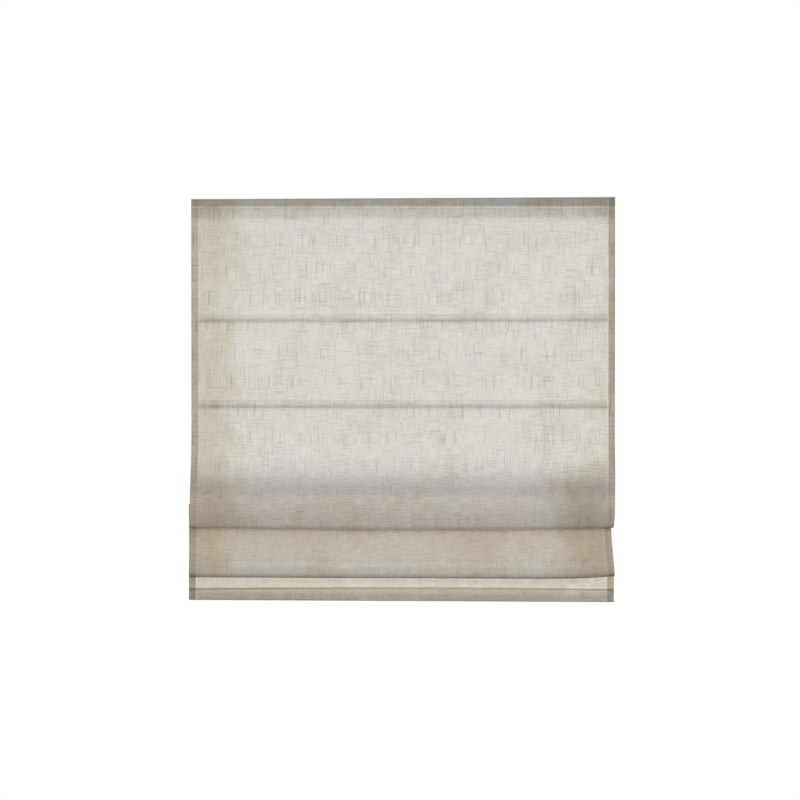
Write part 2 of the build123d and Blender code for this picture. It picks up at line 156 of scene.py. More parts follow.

# How the linen looks: colour sent back and colour let through, warm at the sides and paler in the middle,
# where a pool of light is painted into both colours
LINEN_WARM = (0.340, 0.313, 0.258)
LINEN_LIT = (0.364, 0.347, 0.382)
THROUGH_WARM = (0.370, 0.345, 0.300)
THROUGH_LIT = (0.446, 0.441, 0.360)
LINEN_ROUGHNESS = 0.92
LINEN_GLOSS = 0.15

# The weave: noises over the flat sheet, as (cells to a metre across it, cells to a metre down it, detail)
WEAVE = {
    "warp": (430, 36, 2.0),
    "weft": (36, 430, 2.0),
    "warp_slub": (330, 15, 0.0),
    "weft_slub": (19, 330, 0.0),
    "grain": (470, 470, 2.0),
    "patch": (13, 9, 3.0),
}
WEAVE_TONE = {
    "warp": (0.945, 1.055),
    "weft": (0.95, 1.05),
    "warp_slub": (1.02, 0.885),
    "weft_slub": (1.02, 0.91),
    "grain": (0.915, 1.085),
    "patch": (0.985, 1.015),
}
NOISE_RANGE = (0.3, 0.7)
SLUB_RANGE = (0.60, 0.76)
SLUB_WARMTH = 0.20
FLAT_CONTRAST = {"warp": 1.0, "weft": 1.0, "slub": 1.0}
STACK_CONTRAST = {"warp": 0.75, "weft": 1.8, "slub": 0.55}
LOWER_CONTRAST = 0.88

# Where a pool of light is painted over the middle of the cloth, paler and cooler: the fade at each side, how
# far that strays, and how the colour drifts
LIT_MIDDLE_LEFT = (-0.430, -0.325)
LIT_MIDDLE_RIGHT = (0.43, 0.55)
LIT_MIDDLE_STACK = 0.08
LIT_MIDDLE_STRAY = 0.05
STRAY_CELLS = (17, 13, 2.0)
DRIFT_CELLS = {"fine": (31, 23, 2.0), "broad": (7, 6, 1.0)}
DRIFT = {"fine": 0.25, "broad": 0.32}

# Side hems with painted shade, and the painted highlight beside each one's seam
HEM_TONE = {"left": 0.95, "right": 0.85}
HEM_EDGE = {"left": 0.0, "right": 0.002}
HEM_BLUR = 0.0006
FOLD_2_HEM_SHADE = 0.10
TAIL_HEM_SHADE = 0.16
SEAM_TONE = {"left": 1.05, "right": 1.09}
SEAM_REACH = {"left": 0.0035, "right": 0.010}
SEAM_FULL = 0.0020

# The header band with painted shade and a painted highlight at its seam, and painted shade and painted light
# on the cloth over the rail behind it
HEADER_BAND = 0.0186
HEADER_SLOPE = 0.004
HEADER_SHADE = 0.912
HEADER_BLUR = 0.002
# The painted light of the middle, at half strength on the header band and fading in below it
HEADER_PALE = 0.5
HEADER_PALE_FADE = 0.004
HEADER_SEAM_HIGHLIGHT = 1.23
HEADER_SEAM_RISE = (-0.001, 0.0005)
HEADER_SEAM_FALL = (0.003, 0.0055)
RAIL_RIGHT_SHADE = 0.93
RAIL_RIGHT_REACH = 0.45
RAIL_RIGHT_FADE = (0.040, 0.070)
RAIL_FOOT_LIGHT = 1.075
RAIL_FOOT_RISE = (0.040, 0.052)
RAIL_FOOT_FALL = (0.060, 0.085)

# Folds, stack and tail, with painted shade and painted light on them
# Painted shade on the light let through where the stack behind the cloth begins, and painted light where it
# comes through again on the folds
STACK_SHADE = (0.600, 0.675)
STACK_LIGHT = (0.685, 0.712)
STACK_THROUGH = 0.75
FOLDS_THROUGH = 1.06
# Painted shade at the right end of fold 1 and, less, of fold 2; painted shade over fold 1 below a line;
# painted light over fold 2
STACK_END_SHADE = 0.11
FOLD_1_LINE = 0.724
FOLD_1_BLUR = 0.0015
FOLD_1_SHADE = 0.97
FOLD_2_LIGHT = 1.078
FOLD_2_END_SHADE = 0.05
# Painted light let through the tail
TAIL_LIGHT_THROUGH = 1.11
TAIL_FADE = 0.05
# Painted light on a strip of the tail just under the lower crease
TAIL_STRIP_LIGHT = 1.15
TAIL_STRIP_ABOVE = 0.03
TAIL_STRIP_BELOW = 0.016
# Painted shade along the cloth's turned edges: the header's top, both creases and the hem's bottom, each as
# its darkest tone and its reach
CREASE_SHADE = {
    "header_front": (0.86, 0.005),
    "crease_1_front": (0.83, 0.022),
    "crease_2_front": (0.55, 0.021),
    "hem_front": (0.78, 0.006),
}

# The bottom hem: a painted shadow line at its seam, which slopes and bows a little, and painted shade on the
# hem below it
HEM_SHADOW_RISE = 0.0019
HEM_SHADOW_SLOPE = 0.0036
HEM_SHADOW_BOW = -0.0156
HEM_SHADOW_TONE = 0.66
HEM_SHADOW_DARKENS = (-0.0012, 0.0)
HEM_SHADOW_LIGHTENS = (0.0022, 0.0045)
BOTTOM_HEM_TONE = 0.965

# The pockets' tape, sheerer towards its free edge
TAPE_PALE = (0.364, 0.352, 0.333)
TAPE_THROUGH = (0.436, 0.441, 0.424)
TAPE_SHEER = 0.0105
TAPE_EDGE = {"reflected": 0.30, "transmitted": 1.6}
TAPE_TUNNEL = {"reflected": 1.1, "transmitted": 1.05}

# Surfaces: the height of their relief, the cells to a metre of drawn metal and the pitch of braided strands
RELIEF = {
    "linen": 0.0002,
    "powder": 0.00008,
    "moulded": 0.00004,
    "drawn": 0.00003,
    "pile": 0.0005,
    "braid": 0.0003,
}
DRAWN_CELLS = (30.0, 2600.0, 2600.0)
CORD_PITCH = 0.004
THREAD_PITCH = 0.0008

# Camera and stage
CAMERA_DISTANCE = 4.0
CAMERA_AZIMUTH = math.radians(2.4)
CAMERA_X = -0.0050
CAMERA_Z = -0.452
FRAME_WIDTH = 1.888
SENSOR_WIDTH = 36.0
FLOOR_DROP = 2.0
FLOOR_SIZE = 4.6
FLOOR_PALE = 0.72
FLOOR_WHITE = 0.7
FLOOR_BOUNCE = 0.25
SKY_LEVEL = 0.56
SKY_SLOPE = (0.0, 0.25, 0.30)
KEY_PLACE = (0.6, -3.3, 0.35)
KEY_SIZE = (1.8, 1.4)
KEY_POWER = 44.0
WHITE = (1, 1, 1, 1)


def centre(name):
    low, high = (Vector(corner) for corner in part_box(name))
    return (low + high) / 2


# The cloth is measured from the middle of its front layer, which has the header hem's layer behind it
CLOTH_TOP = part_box("headrail")[1][2]
CLOTH_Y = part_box("loop_tape")[0][1] - 1.5 * LAYER
CORD_BEHIND = centre("lift_cord_centre").y - CLOTH_Y
GATHER_4_BEHIND = centre("rod_4").y - CLOTH_Y
TAIL_BEHIND = CORD_BEHIND + GATHER_WIDTH / 2
STITCH_DROP = BLIND_DROP - HEM_HEIGHT
HEM_BACK_DROP = CLOTH_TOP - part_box("bottom_bar")[1][2]


# Lines in the plane (y, z), which the cloth's folds are drawn in
def unit(vector):
    return vector / np.linalg.norm(vector)


def on_cloth(behind, drop):
    """A point (y, z), measured back from the flat cloth and down from its top edge."""
    return np.array((CLOTH_Y + behind, CLOTH_TOP - drop))


def straight(start, end, step):
    """Points after start, evenly spaced up to end."""
    count = max(1, math.ceil(np.linalg.norm(end - start) / step))
    return [start + (end - start) * k / count for k in range(1, count + 1)]


def rounded(points, radii, step):
    """Points along a line with rounded corners, and the place in the list where each bend ends."""
    line = [points[0]]
    bend_ends = []
    for before, corner, after, radius in zip(points, points[1:], points[2:], radii):
        into = unit(corner - before)
        out = unit(after - corner)
        turn = math.acos(max(-1.0, min(1.0, into @ out)))
        side = math.copysign(1, into[0] * out[1] - into[1] * out[0])
        start = corner - into * radius * math.tan(turn / 2)
        arm = side * radius * np.array((into[1], -into[0]))
        line += straight(line[-1], start, step)
        count = max(2, math.ceil(turn / BEND_STEP), math.ceil(radius * turn / step))
        for k in range(1, count + 1):
            angle = side * turn * k / count
            cos, sin = math.cos(angle), math.sin(angle)
            line.append(start - arm + np.array((cos * arm[0] - sin * arm[1], sin * arm[0] + cos * arm[1])))
        bend_ends.append(len(line) - 1)
    line += straight(line[-1], points[-1], step)
    return np.array(line), bend_ends


def back_of(line):
    """The way the back of the cloth faces at each point of a line."""
    along = np.gradient(line, axis=0)
    along /= np.linalg.norm(along, axis=1)[:, None]
    return np.stack((-along[:, 1], along[:, 0]), axis=1)


# The cloth's line: one sheet, from the header hem behind its top edge to the hem round the bottom bar
half_layer = LAYER / 2
crease_1_line = CREASE_1_DROP - half_layer
crease_2_line = CREASE_2_DROP - half_layer
gather_4_line = GATHER_4_DROP + half_layer
gather_6_line = GATHER_6_DROP + half_layer
bottom_line = BLIND_DROP - half_layer
header_radius = HEADER_RADIUS_SHARE * half_layer
cloth_route = {
    "header_edge": (on_cloth(LAYER, HEADER_HEM), None),
    "header_back": (on_cloth(LAYER, 0), header_radius),
    "header_front": (on_cloth(0, 0), header_radius),
    "bulge": (on_cloth(0, BULGE_DROP), BULGE_RADIUS),
    "brow_1": (on_cloth(-BROW_1_FORWARD, BROW_1_DROP), BROW_1_RADIUS),
    "crease_1_front": (on_cloth(-CREASE_1_FORWARD, crease_1_line), CREASE_RADIUS),
    "crease_1_back": (on_cloth(CREASE_WIDTH - CREASE_1_FORWARD, crease_1_line), CREASE_RADIUS),
    "gather_4_front": (on_cloth(GATHER_4_BEHIND - GATHER_WIDTH / 2, gather_4_line), GATHER_RADIUS),
    "gather_4_back": (on_cloth(GATHER_4_BEHIND + GATHER_WIDTH / 2, gather_4_line), GATHER_RADIUS),
    "brow_2": (on_cloth(-BROW_2_FORWARD, BROW_2_DROP), BROW_2_RADIUS),
    "crease_2_front": (on_cloth(-CREASE_2_FORWARD, crease_2_line), CREASE_RADIUS),
    "crease_2_back": (on_cloth(CREASE_WIDTH - CREASE_2_FORWARD, crease_2_line), CREASE_RADIUS),
    "gather_6_front": (on_cloth(CORD_BEHIND - GATHER_WIDTH / 2, gather_6_line), GATHER_RADIUS),
    "gather_6_back": (on_cloth(TAIL_BEHIND, gather_6_line), GATHER_RADIUS),
    "hem_front": (on_cloth(TAIL_BEHIND, bottom_line), HEM_RADIUS),
    "hem_back": (on_cloth(TAIL_BEHIND + HEM_DEPTH, bottom_line), HEM_RADIUS),
    "hem_shoulder": (on_cloth(TAIL_BEHIND + HEM_DEPTH, HEM_BACK_DROP), 2 * HEM_RADIUS),
    "hem_edge": (on_cloth(TAIL_BEHIND + LAYER, STITCH_DROP), None),
}
corners = list(cloth_route)[1:-1]
cloth_line, bend_ends = rounded(
    [point for point, _ in cloth_route.values()], [cloth_route[name][1] for name in corners], ROW_STEP
)
bend_row = dict(zip(corners, bend_ends))
steps = np.linalg.norm(np.diff(cloth_line, axis=0), axis=1)
cloth_length = np.concatenate(([0.0], np.cumsum(steps)))
cloth_down = cloth_length - cloth_length[bend_row["header_front"]]
cloth_back = back_of(cloth_line)
last_row = len(cloth_line) - 1

crease_row = bend_row["crease_1_front"]
gather_row = bend_row["gather_4_front"]
fold_seam_z = CLOTH_TOP - crease_1_line + FOLD_SEAM_RISE
after_crease = range(bend_row["crease_1_back"], gather_row)
seam_row = min(after_crease, key=lambda row: abs(cloth_line[row, 1] - fold_seam_z))
fold_seam_z = cloth_line[seam_row, 1]
tail_rows = range(bend_row["gather_6_back"], bend_row["hem_front"])
crease_2_z = CLOTH_TOP - crease_2_line
hem_seam_down = cloth_down[tail_rows[0]] + cloth_line[tail_rows[0], 1] - (CLOTH_TOP - STITCH_DROP)
named_row = {**bend_row, "tail_strip": min(tail_rows, key=lambda row: abs(cloth_line[row, 1] - crease_2_z))}


class Shader:
    """The nodes of a material or of the world, with short calls for the ones that are used here."""

    def __init__(self, owner):
        owner.use_nodes = True
        self.owner = owner
        self.tree = owner.node_tree
        self.tree.nodes.clear()

    def add(self, kind, inputs=None, **settings):
        node = self.tree.nodes.new("ShaderNode" + kind)
        for key, value in settings.items():
            setattr(node, key, value)
        for key, value in (inputs or {}).items():
            if isinstance(value, bpy.types.NodeSocket):
                self.tree.links.new(value, node.inputs[key])
            else:
                node.inputs[key].default_value = value
        return node

    def math(self, operation, first, second=0.0, third=0.0):
        return self.add("Math", {0: first, 1: second, 2: third}, operation=operation).outputs[0]

    def ramp(self, value, low, high, start=0.0, end=1.0):
        """A value that goes smoothly from start to end as the input goes from low to high."""
        keys = {"Value": value, "From Min": low, "From Max": high, "To Min": start, "To Max": end}
        return self.add("MapRange", keys, interpolation_type="SMOOTHSTEP").outputs[0]

    def between(self, share, start, end):
        """From start to end as share goes from 0 to 1."""
        return self.ramp(share, 0.0, 1.0, start, end)

    def varied(self, value, start, end):
        """From start to end as a noise goes through the middle of its range."""
        return self.ramp(value, *NOISE_RANGE, start, end)

    def edge(self, value, line, blur, start=0.0, end=1.0):
        """From start to end across a line, within blur of it."""
        return self.ramp(value, line - blur, line + blur, start, end)

    def band(self, value, rise, fall, tone, after=1.0):
        """From 1 to the tone of a band over its rise, and on to the tone after it over its fall."""
        return self.product(self.ramp(value, *rise, 1.0, tone), self.ramp(value, *fall, 1.0, after / tone))

    def stretched(self, vector, scale):
        return self.add("VectorMath", {0: vector, 1: scale}, operation="MULTIPLY").outputs[0]

    def noise(self, vector, scale=1.0, detail=2.0):
        return self.add("TexNoise", {"Vector": vector, "Scale": scale, "Detail": detail}).outputs["Fac"]

    def cells(self, vector, across, down, detail):
        """A noise with so many cells to a metre across the sheet and down it."""
        return self.noise(self.stretched(vector, (across, down, 1)), detail=detail)

    def product(self, *values):
        result = values[0]
        for value in values[1:]:
            result = self.math("MULTIPLY", result, value)
        return result

    def mixed(self, first, second, share):
        """From the first colour to the second as share goes from 0 to 1."""
        return self.add("Mix", {0: share, 6: (*first, 1), 7: (*second, 1)}, data_type="RGBA").outputs[2]

    def tinted(self, colour, factor):
        return self.add("VectorMath", {0: colour, "Scale": factor}, operation="SCALE").outputs[0]

    def bump(self, height, distance, strength):
        return self.add("Bump", {"Height": height, "Distance": distance, "Strength": strength}).outputs[0]

    def place(self):
        return self.add("TexCoord").outputs["Object"]

    def seen(self):
        """1 for rays that show the background: straight from the camera, in gloss or through glass."""
        path = self.add("LightPath").outputs
        mirrored = self.math("MAXIMUM", path["Is Glossy Ray"], path["Is Transmission Ray"])
        return self.math("MAXIMUM", path["Is Camera Ray"], mirrored)

    def finish(self, shader, output="OutputMaterial"):
        self.add(output, {"Surface": shader})
        return self.owner


def new_look(name):
    return Shader(bpy.data.materials.new(name))


# Linen
def linen_threads(look, cloth, contrast):
    """The weave: how bright the threads are, how high they stand, and where a thick one runs."""
    weave = {name: look.cells(cloth, *cells) for name, cells in WEAVE.items()}
    warp_slub = look.ramp(weave["warp_slub"], *SLUB_RANGE)
    weft_slub = look.ramp(weave["weft_slub"], *SLUB_RANGE)
    slubs = look.product(
        look.between(warp_slub, *WEAVE_TONE["warp_slub"]), look.between(weft_slub, *WEAVE_TONE["weft_slub"])
    )
    tone = look.product(
        look.math("POWER", look.varied(weave["warp"], *WEAVE_TONE["warp"]), contrast["warp"]),
        look.math("POWER", look.varied(weave["weft"], *WEAVE_TONE["weft"]), contrast["weft"]),
        look.math("POWER", slubs, contrast["slub"]),
        look.varied(weave["grain"], *WEAVE_TONE["grain"]),
        look.varied(weave["patch"], *WEAVE_TONE["patch"]),
    )
    threads_height = look.math("ADD", weave["warp"], weave["weft"])
    height = look.math("ADD", threads_height, look.math("ADD", warp_slub, weft_slub))
    return tone, height, look.math("MAXIMUM", warp_slub, weft_slub)


def linen_shader(look, reflected, transmitted, height):
    """Light that the cloth sends back, and light that comes through it."""
    relief = look.bump(height, RELIEF["linen"], strength=0.5)
    keys = {
        "Base Color": reflected,
        "Roughness": LINEN_ROUGHNESS,
        "Specular IOR Level": LINEN_GLOSS,
        "Normal": relief,
    }
    front = look.add("BsdfPrincipled", keys)
    through = look.add("BsdfTranslucent", {"Color": transmitted, "Normal": relief})
    return look.add("AddShader", {0: front.outputs[0], 1: through.outputs[0]}).outputs[0]


def side_hem_tone(look, across, in_stack, lower, in_tail):
    """The side hems' painted shade, and the painted highlight beside each one's seam."""
    inner = WIDTH / 2 - SIDE_HEM
    in_hem = look.edge(look.math("ABSOLUTE", across), inner, HEM_BLUR)
    shade = look.math("MULTIPLY", lower, look.between(in_tail, FOLD_2_HEM_SHADE, TAIL_HEM_SHADE))
    tones = [look.math("SUBTRACT", 1.0, look.math("MULTIPLY", in_hem, shade))]
    hem_tone = {"left": HEM_TONE["left"], "right": look.between(in_stack, HEM_TONE["right"], 1.0)}
    for side, sign in (("left", -1.0), ("right", 1.0)):
        outward = look.math("MULTIPLY", across, sign)
        line = inner + HEM_EDGE[side]
        rise = (line - SEAM_REACH[side], line - SEAM_FULL)
        fall = (line - HEM_BLUR, line + HEM_BLUR)
        tones.append(look.edge(outward, line, HEM_BLUR, 1.0, hem_tone[side]))
        tones.append(look.band(outward, rise, fall, SEAM_TONE[side]))
    return look.product(*tones)


def header_tone(look, across, down, below_band):
    """Painted shade on the header band, a painted highlight at its seam, and painted shade over the rail's
    face, darker to the right, with painted light over its foot, behind the cloth.
    """
    rail_right = look.ramp(across, 0.0, RAIL_RIGHT_REACH, 1.0, RAIL_RIGHT_SHADE)
    return look.product(
        look.ramp(below_band, -HEADER_BLUR, 0.0, HEADER_SHADE, 1.0),
        look.band(below_band, HEADER_SEAM_RISE, HEADER_SEAM_FALL, HEADER_SEAM_HIGHLIGHT),
        look.band(down, RAIL_FOOT_RISE, RAIL_FOOT_FALL, RAIL_FOOT_LIGHT),
        look.ramp(down, *RAIL_RIGHT_FADE, rail_right, 1.0),
    )


def fold_tone(look, down, lower):
    """Painted shade over fold 1, painted light over fold 2, and a painted light strip on the tail at the
    height of the lower crease.
    """
    strip = cloth_down[named_row["tail_strip"]]
    above = (strip - TAIL_STRIP_ABOVE, strip)
    below = (strip, strip + TAIL_STRIP_BELOW)
    return look.product(
        look.edge(down, FOLD_1_LINE, FOLD_1_BLUR, 1.0, FOLD_1_SHADE),
        look.between(lower, 1.0, FOLD_2_LIGHT),
        look.band(down, above, below, TAIL_STRIP_LIGHT),
    )


def bottom_hem_tone(look, across, down):
    """A painted shadow line at the bottom hem's seam, and painted shade on the hem below it."""
    # Painted shadow line along the hem's seam
    slope = look.math("MULTIPLY_ADD", across, HEM_SHADOW_BOW, HEM_SHADOW_SLOPE)
    rise = look.math("MULTIPLY_ADD", across, slope, HEM_SHADOW_RISE)
    below_hem_shadow = look.math("ADD", look.math("SUBTRACT", down, hem_seam_down), rise)
    return look.band(below_hem_shadow, HEM_SHADOW_DARKENS, HEM_SHADOW_LIGHTENS, HEM_SHADOW_TONE, BOTTOM_HEM_TONE)


def linen_of_cloth():
    """Linen with painted light that makes its middle paler and cooler, warmer sides, hems and tail, and
    painted shade and light on hems, header, folds and creases.
    """
    look = new_look("linen_cloth")
    cloth = look.add("UVMap", uv_map="Cloth").outputs[0]
    parts = look.add("SeparateXYZ", {0: cloth})
    across, down = parts.outputs[0], parts.outputs[1]
    in_stack = look.ramp(down, *STACK_SHADE)
    lower = look.ramp(down, cloth_down[gather_row], cloth_down[bend_row["gather_4_back"]])
    tail = cloth_down[bend_row["gather_6_back"]]
    in_tail = look.ramp(down, tail, tail + TAIL_FADE)
    below_band = look.math("SUBTRACT", down, look.math("MULTIPLY_ADD", across, HEADER_SLOPE, HEADER_BAND))
    # Painted shade near each turned edge of the cloth
    crease_shades = {}
    for name, (darkest, reach) in CREASE_SHADE.items():
        from_crease = look.math("ABSOLUTE", look.math("SUBTRACT", down, cloth_down[bend_row[name]]))
        crease_shades[name] = look.ramp(from_crease, 0.0, reach, darkest, 1.0)

    contrast = {
        way: look.between(in_stack, flat, STACK_CONTRAST[way]) for way, flat in FLAT_CONTRAST.items()
    }
    threads, height, slub = linen_threads(look, cloth, contrast)
    tone = look.product(
        look.math("POWER", threads, look.between(lower, 1.0, LOWER_CONTRAST)),
        side_hem_tone(look, across, in_stack, lower, in_tail),
        header_tone(look, across, down, below_band),
        fold_tone(look, down, lower),
        bottom_hem_tone(look, across, down),
        *crease_shades.values(),
    )

    # Painted light: a paler, cooler pool over the middle, whose edges stray a little and which is narrower
    # at the right of the stack
    left_reach = look.math("MULTIPLY_ADD", look.cells(cloth, *STRAY_CELLS), LIT_MIDDLE_STRAY, across)
    right_reach = look.math("MULTIPLY_ADD", in_stack, LIT_MIDDLE_STACK, left_reach)
    right_end = look.ramp(right_reach, *LIT_MIDDLE_RIGHT)
    # Painted shade at the right end of the folds
    fold_1_shade = look.math("MULTIPLY", look.math("SUBTRACT", in_stack, lower), STACK_END_SHADE)
    fold_2_shade = look.math("MULTIPLY", look.math("SUBTRACT", lower, in_tail), FOLD_2_END_SHADE)
    end_shade = look.math("MULTIPLY", right_end, look.math("ADD", fold_1_shade, fold_2_shade))
    tone = look.math("MULTIPLY", tone, look.math("SUBTRACT", 1.0, end_shade))
    lit_middle = look.product(
        look.ramp(left_reach, *LIT_MIDDLE_LEFT),
        look.math("SUBTRACT", 1.0, right_end),
        look.ramp(below_band, 0.0, HEADER_PALE_FADE, HEADER_PALE, 1.0),
        look.ramp(crease_shades["crease_1_front"], CREASE_SHADE["crease_1_front"][0], 1.0),
        look.ramp(down, cloth_down[bend_row["brow_2"]], cloth_down[bend_row["crease_2_front"]], 1.0, 0.0),
    )
    for size, reach in DRIFT.items():
        drift = look.varied(look.cells(cloth, *DRIFT_CELLS[size]), -reach, reach)
        lit_middle = look.math("ADD", lit_middle, drift)
    lit_middle = look.math("SUBTRACT", lit_middle, look.math("MULTIPLY", slub, SLUB_WARMTH))

    # Light let through, with painted shade where the stack begins and painted light on the folds and the
    # tail
    sheer = look.product(
        tone,
        look.between(in_tail, 1.0, TAIL_LIGHT_THROUGH),
        look.ramp(down, *STACK_SHADE, 1.0, STACK_THROUGH),
        look.ramp(down, *STACK_LIGHT, 1.0, FOLDS_THROUGH / STACK_THROUGH),
    )
    reflected = look.tinted(look.mixed(LINEN_WARM, LINEN_LIT, lit_middle), tone)
    transmitted = look.tinted(look.mixed(THROUGH_WARM, THROUGH_LIT, lit_middle), sheer)
    return look.finish(linen_shader(look, reflected, transmitted, height))


def linen_of_tape():
    """The same linen as a thin tape, sheerer towards its free edge."""
    look = new_look("linen_tape")
    cloth = look.add("UVMap", uv_map="Cloth").outputs[0]
    down = look.add("SeparateXYZ", {0: cloth}).outputs[1]
    tone, height, _ = linen_threads(look, cloth, FLAT_CONTRAST)
    colours = {"reflected": TAPE_PALE, "transmitted": TAPE_THROUGH}
    for way, colour in colours.items():
        share = look.ramp(down, 0.0, TAPE_SHEER, TAPE_EDGE[way], TAPE_TUNNEL[way])
        colours[way] = look.tinted(colour, look.math("MULTIPLY", tone, share))
    return look.finish(linen_shader(look, colours["reflected"], colours["transmitted"], height))


# Other materials
def powder_coat(name, colour):
    look = new_look(name)
    place = look.place()
    peel = look.noise(place, scale=900.0)
    dust = look.ramp(look.noise(place, scale=26.0, detail=4.0), low=0.35, high=0.75, start=1.0, end=0.95)
    keys = {
        "Base Color": look.tinted(colour, dust),
        "Roughness": look.varied(peel, start=0.34, end=0.46),
        "Normal": look.bump(peel, RELIEF["powder"], strength=0.4),
    }
    return look.finish(look.add("BsdfPrincipled", keys).outputs[0])


def moulded(name, colour, rough=0.45, smoother=0.06, rougher=0.08):
    look = new_look(name)
    place = look.place()
    texture = look.noise(place, scale=1600.0)
    shade = look.varied(look.noise(place, scale=60.0, detail=3.0), start=0.96, end=1.02)
    keys = {
        "Base Color": look.tinted(colour, shade),
        "Roughness": look.varied(texture, rough - smoother, rough + rougher),
        "Normal": look.bump(texture, RELIEF["moulded"], strength=0.3),
    }
    return look.finish(look.add("BsdfPrincipled", keys).outputs[0])


def drawn_metal(name, colour, rough, spangle, smoother=0.06, rougher=0.12):
    """Bare or plated metal with fine drawing lines along the rail and a cloudy surface."""
    look = new_look(name)
    place = look.place()
    lines = look.noise(look.stretched(place, DRAWN_CELLS))
    cloud = look.varied(look.noise(place, scale=160.0, detail=3.0), 1.0 - spangle, 1.0 + spangle)
    keys = {
        "Base Color": look.tinted(colour, cloud),
        "Metallic": 1.0,
        "Roughness": look.varied(lines, rough - smoother, rough + rougher),
        "Normal": look.bump(lines, RELIEF["drawn"], strength=0.35),
    }
    return look.finish(look.add("BsdfPrincipled", keys).outputs[0])


def pile(name, colour, scale):
    """The face of a fastening tape: short hooks or brushed loops."""
    look = new_look(name)
    place = look.place()
    tufts = look.add("TexVoronoi", {"Vector": place, "Scale": scale}).outputs["Distance"]
    keys = {
        "Base Color": look.tinted(colour, look.ramp(tufts, low=0.0, high=0.8, start=1.04, end=0.78)),
        "Roughness": 0.85,
        "Sheen Weight": 0.2,
        "Normal": look.bump(tufts, RELIEF["pile"], strength=0.8),
    }
    return look.finish(look.add("BsdfPrincipled", keys).outputs[0])


def braid(name, colour, pitch):
    look = new_look(name)
    place = look.place()
    keys = {"Vector": place, "Scale": 1.0 / pitch, "Distortion": 0.8, "Detail": 1.0}
    strands = look.add("TexWave", keys, bands_direction="DIAGONAL").outputs["Fac"]
    keys = {
        "Base Color": look.tinted(colour, look.between(strands, start=0.82, end=1.03)),
        "Roughness": 0.8,
        "Normal": look.bump(strands, RELIEF["braid"], strength=0.6),
    }
    return look.finish(look.add("BsdfPrincipled", keys).outputs[0])


linen_cloth = linen_of_cloth()
linen_tape = linen_of_tape()
cord_braid = braid("cord_braid", (0.80, 0.79, 0.76), CORD_PITCH)
sewing_thread = braid("sewing_thread", (0.58, 0.555, 0.50), THREAD_PITCH)

slot_looks = {
    "rail_white": powder_coat("rail_white", (0.84, 0.84, 0.83)),
    "cap_plastic": moulded("cap_plastic", (0.82, 0.82, 0.80)),
    "zinc_steel": drawn_metal("zinc_steel", (0.66, 0.67, 0.69), rough=0.34, spangle=0.10),
    "lever_plastic": moulded("lever_plastic", (0.76, 0.77, 0.78), rough=0.40),
    "hook_tape": pile("hook_tape", (0.78, 0.78, 0.76), scale=1400.0),
    "loop_tape": pile("loop_tape", (0.76, 0.75, 0.72), scale=900.0),
    "shaft_steel": drawn_metal("shaft_steel", (0.60, 0.61, 0.63), rough=0.28, spangle=0.05),
    "spool_plastic": moulded("spool_plastic", (0.82, 0.82, 0.80), rough=0.36),
    "cradle_plastic": moulded("cradle_plastic", (0.55, 0.56, 0.57), rough=0.48),
    "spring_steel": drawn_metal("spring_steel", (0.42, 0.43, 0.46), rough=0.22, spangle=0.06),
    "motor_steel": drawn_metal("motor_steel", (0.62, 0.63, 0.65), rough=0.36, spangle=0.10),
    "rod_plastic": moulded("rod_plastic", (0.80, 0.80, 0.78), rough=0.42),
    "ring_plastic": moulded("ring_plastic", (0.84, 0.85, 0.85), rough=0.24),
    "lift_cord": cord_braid,
    "bar_aluminium": drawn_metal("bar_aluminium", (0.70, 0.71, 0.72), rough=0.40, spangle=0.04),
    "bar_plastic": moulded("bar_plastic", (0.80, 0.80, 0.79), rough=0.42),
}
for node in nodes.values():
    for holder in node.material_slots:
        known = holder.material.name.split(".")[0]
        if known in slot_looks:
            holder.material = slot_looks[known]


def mesh_piece(name, places, faces, material):
    """An object of the scene from its points, its faces and its material."""
    mesh = bpy.data.meshes.new(name)
    mesh.from_pydata(places, [], faces)
    mesh.materials.append(material)
    piece = bpy.data.objects.new(name, mesh)
    scene.collection.objects.link(piece)
    return piece


def grid_piece(name, places, uvs, material):
    """A sheet from rows of points, with the flat cloth's own coordinates as its UV map."""
    rows, columns = places.shape[:2]
    index = np.arange(rows * columns).reshape(rows, columns)
    faces = np.stack((index[:-1, :-1], index[1:, :-1], index[1:, 1:], index[:-1, 1:]), axis=-1)
    piece = mesh_piece(name, places.reshape(-1, 3).tolist(), faces.reshape(-1, 4).tolist(), material)
    mesh = piece.data
    layer = mesh.uv_layers.new(name="Cloth")
    points = np.empty(len(mesh.loops), dtype=np.int32)
    mesh.loops.foreach_get("vertex_index", points)
    layer.data.foreach_set("uv", uvs.reshape(-1, 2)[points].astype(np.float32).ravel())
    mesh.shade_smooth()
    return piece


def cloth_columns():
    """Across the cloth: place, distance behind the front layer, and place across the flat sheet."""
    half = WIDTH / 2
    inner = half - SIDE_HEM
    roll = LAYER / 2
    turned = []
    for k in range(HEM_STEPS):
        x = inner + (half - roll - inner) * k / HEM_STEPS
        turned.append((x, LAYER, 2 * half - x))
    for k in range(ROLL_STEPS):
        angle = math.pi * k / ROLL_STEPS
        x = half - roll + roll * math.sin(angle)
        turned.append((x, roll + roll * math.cos(angle), half + roll * math.cos(angle)))
    left = [(-x, behind, -flat) for x, behind, flat in turned]
    front = [((half - roll) * (2 * k / COLUMNS - 1), 0.0) for k in range(COLUMNS + 1)]
    return left + [(x, behind, x) for x, behind in front] + turned[::-1]


def crease_share(start_row, middle_row, end_row):
    """How much of a fold's end lift each row takes: all at the crease, none at the start and the end."""
    start, crease, end = cloth_down[start_row], cloth_down[middle_row], cloth_down[end_row]
    rise = np.clip((cloth_down - start) / (crease - start), 0, 1)
    fall = np.clip((end - cloth_down) / (end - crease), 0, 1)
    return np.minimum(rise * rise * (3 - 2 * rise), fall)


